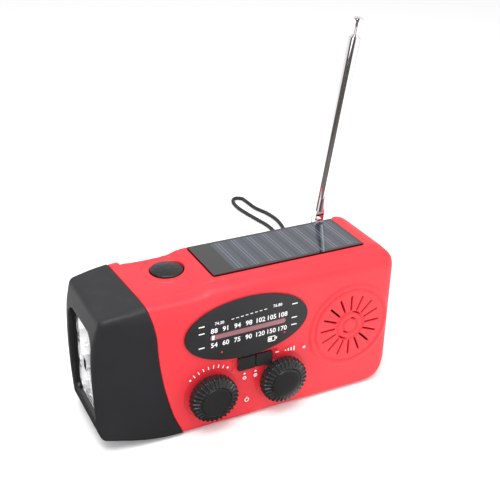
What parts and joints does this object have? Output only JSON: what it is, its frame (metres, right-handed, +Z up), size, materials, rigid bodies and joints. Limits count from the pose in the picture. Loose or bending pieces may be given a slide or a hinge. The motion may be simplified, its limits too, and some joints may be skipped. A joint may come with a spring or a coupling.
{
  "type": "emergency radio",
  "caption": "Hand-cranked portable radio with a solar panel on top, a lamp at one end, a telescopic antenna, two knobs, a dial and a round speaker grille.",
  "frame": {"origin": "centre of the casing on the surface that it stands on", "axes": "+X towards the speaker end, -Y out of the dial face, +Z up"},
  "size_m": [0.1518, 0.1956, 0.1426],
  "materials": {
    "red_shell": "soft-touch moulded plastic",
    "charcoal_plastic": "fine matte moulded plastic",
    "gloss_black": "polished black plastic",
    "control_black": "satin black plastic",
    "clear_lens": "clear moulded lens",
    "reflector": "vacuum-metallised cup",
    "diode": "clear diode with a phosphor dot",
    "board": "solder mask",
    "solar_glass": "dark cell strips under clear resin",
    "steel": "plated steel",
    "brass": "turned brass",
    "copper": "enamelled copper wire",
    "cream_plastic": "natural acetal",
    "chrome": "polished chrome plate",
    "ferrite": "sintered ferrite",
    "cell_wrap": "heat-shrink film",
    "paper_cone": "pressed paper",
    "soft_rubber": "moulded soft rubber",
    "strap_braid": "braided nylon"
  },
  "bodies": {
    "case": {"front_shell": "red_shell", "rear_cover": "red_shell", "head_bezel": "charcoal_plastic", "lens_frame": "gloss_black", "lens": "clear_lens", "reflector": "reflector", "lamp_diodes": "diode", "lamp_board": "board", "solar_panel": "solar_glass", "button_spring": "steel", "button_switch": "control_black", "button_bracket": "board", "dial_panel": "charcoal_plastic", "dial_window": "clear_lens", "tuning_capacitor": "cream_plastic", "volume_pot": "steel", "band_switch": "steel", "speaker_basket": "steel", "speaker_cone": "paper_cone", "speaker_magnet": "steel", "main_board": "board", "board_parts": "control_black", "battery": "cell_wrap", "ferrite_rod": "ferrite", "ferrite_coil": "copper", "crank_bush": "brass", "idler_pin": "steel", "gear_plate": "steel", "dynamo_housing": "steel", "usb_socket": "steel", "charge_socket": "steel", "socket_board": "board", "case_screws": "steel", "wrist_strap": "strap_braid"},
    "light_button": {"light_button": "control_black"},
    "tuning": {"tuning_knob": "control_black", "tuning_shaft": "steel"},
    "pointer": {"dial_pointer": "cream_plastic"},
    "volume": {"volume_knob": "control_black", "volume_shaft": "steel"},
    "band": {"band_slider": "control_black"},
    "crank": {"crank_hub": "charcoal_plastic", "crank_shaft": "steel", "drive_gear": "cream_plastic", "arm_pin": "steel"},
    "arm": {"crank_arm": "charcoal_plastic", "grip_pin": "steel"},
    "grip_frame": {"grip_spindle": "steel"},
    "grip": {"crank_grip": "control_black"},
    "idler": {"idler_gear": "cream_plastic"},
    "dynamo": {"dynamo_rotor": "copper"},
    "mast_base": {"antenna_base": "chrome", "antenna_pin": "steel"},
    "mast_1": {"antenna_tube_1": "chrome"},
    "mast_2": {"antenna_tube_2": "chrome"},
    "mast_3": {"antenna_tube_3": "chrome"},
    "mast_4": {"antenna_tube_4": "chrome"},
    "mast_tip": {"antenna_tip": "chrome"},
    "cover": {"port_cover": "soft_rubber"}
  },
  "joints": [
    {"name": "button_press", "type": "slide", "parent": "case", "child": "light_button", "axis": [0, 0, -1], "range_m": [0, 0.0008], "stiffness_N_per_m": 400, "deforming": ["button_spring"]},
    {"name": "tuning_turn", "type": "hinge", "parent": "case", "child": "tuning", "pos_m": [-0.0196, -0.022, 0.0157], "axis": [0, 1, 0], "range_deg": [0, 320]},
    {"name": "pointer_slide", "type": "slide", "parent": "case", "child": "pointer", "axis": [1, 0, 0], "range_m": [0, 0.0275]},
    {"name": "volume_turn", "type": "hinge", "parent": "case", "child": "volume", "pos_m": [0.0096, -0.022, 0.0157], "axis": [0, 1, 0], "range_deg": [0, 290]},
    {"name": "band_slide", "type": "slide", "parent": "case", "child": "band", "axis": [1, 0, 0], "range_m": [-0.002, 0.002]},
    {"name": "crank_spin", "type": "hinge", "parent": "case", "child": "crank", "pos_m": [0.008, 0.014, 0.0274], "axis": [0, 1, 0], "continuous": true},
    {"name": "idler_spin", "type": "hinge", "parent": "case", "child": "idler", "pos_m": [0.0255, 0.006, 0.0274], "axis": [0, 1, 0], "continuous": true},
    {"name": "dynamo_spin", "type": "hinge", "parent": "case", "child": "dynamo", "pos_m": [0.0402, 0.004, 0.0274], "axis": [0, 1, 0], "continuous": true},
    {"name": "crank_fold", "type": "hinge", "parent": "crank", "child": "arm", "pos_m": [0.001, 0.0183, 0.0274], "axis": [0, 0, 1], "range_deg": [0, 165]},
    {"name": "grip_fold", "type": "hinge", "parent": "arm", "child": "grip_frame", "pos_m": [0.0259, 0.0176, 0.0274], "axis": [0, 0, 1], "range_deg": [-90, 0]},
    {"name": "grip_spin", "type": "hinge", "parent": "grip_frame", "child": "grip", "pos_m": [0.0179, 0.0176, 0.0274], "axis": [1, 0, 0], "continuous": true},
    {"name": "antenna_swivel", "type": "hinge", "parent": "case", "child": "mast_base", "pos_m": [0.0456, 0.0182, 0.055], "axis": [0, 0, 1], "range_deg": [0, 340]},
    {"name": "antenna_tilt", "type": "hinge", "parent": "mast_base", "child": "mast_1", "pos_m": [0.0456, 0.0182, 0.0582], "axis": [0, 1, 0], "range_deg": [-98.8, 15]},
    {"name": "mast_2_slide", "type": "slide", "parent": "mast_1", "child": "mast_2", "axis": [0.153, 0, 0.9882], "range_m": [0, 0.056]},
    {"name": "mast_3_slide", "type": "slide", "parent": "mast_2", "child": "mast_3", "axis": [0.153, 0, 0.9882], "range_m": [0, 0.056]},
    {"name": "mast_4_slide", "type": "slide", "parent": "mast_3", "child": "mast_4", "axis": [0.153, 0, 0.9882], "range_m": [0, 0.056]},
    {"name": "mast_tip_slide", "type": "slide", "parent": "mast_4", "child": "mast_tip", "axis": [0.153, 0, 0.9882], "range_m": [0, 0.056]},
    {"name": "cover_fold", "type": "hinge", "parent": "case", "child": "cover", "pos_m": [0.0455, 0.02015, 0.007], "axis": [-1, 0, 0], "range_deg": [0, 120]}
  ],
  "couplings": [
    {"joint": "pointer_slide", "follows": "tuning_turn", "m_per_rad": 0.0049},
    {"joint": "idler_spin", "follows": "crank_spin", "ratio": -4},
    {"joint": "dynamo_spin", "follows": "crank_spin", "ratio": 12.8}
  ]
}
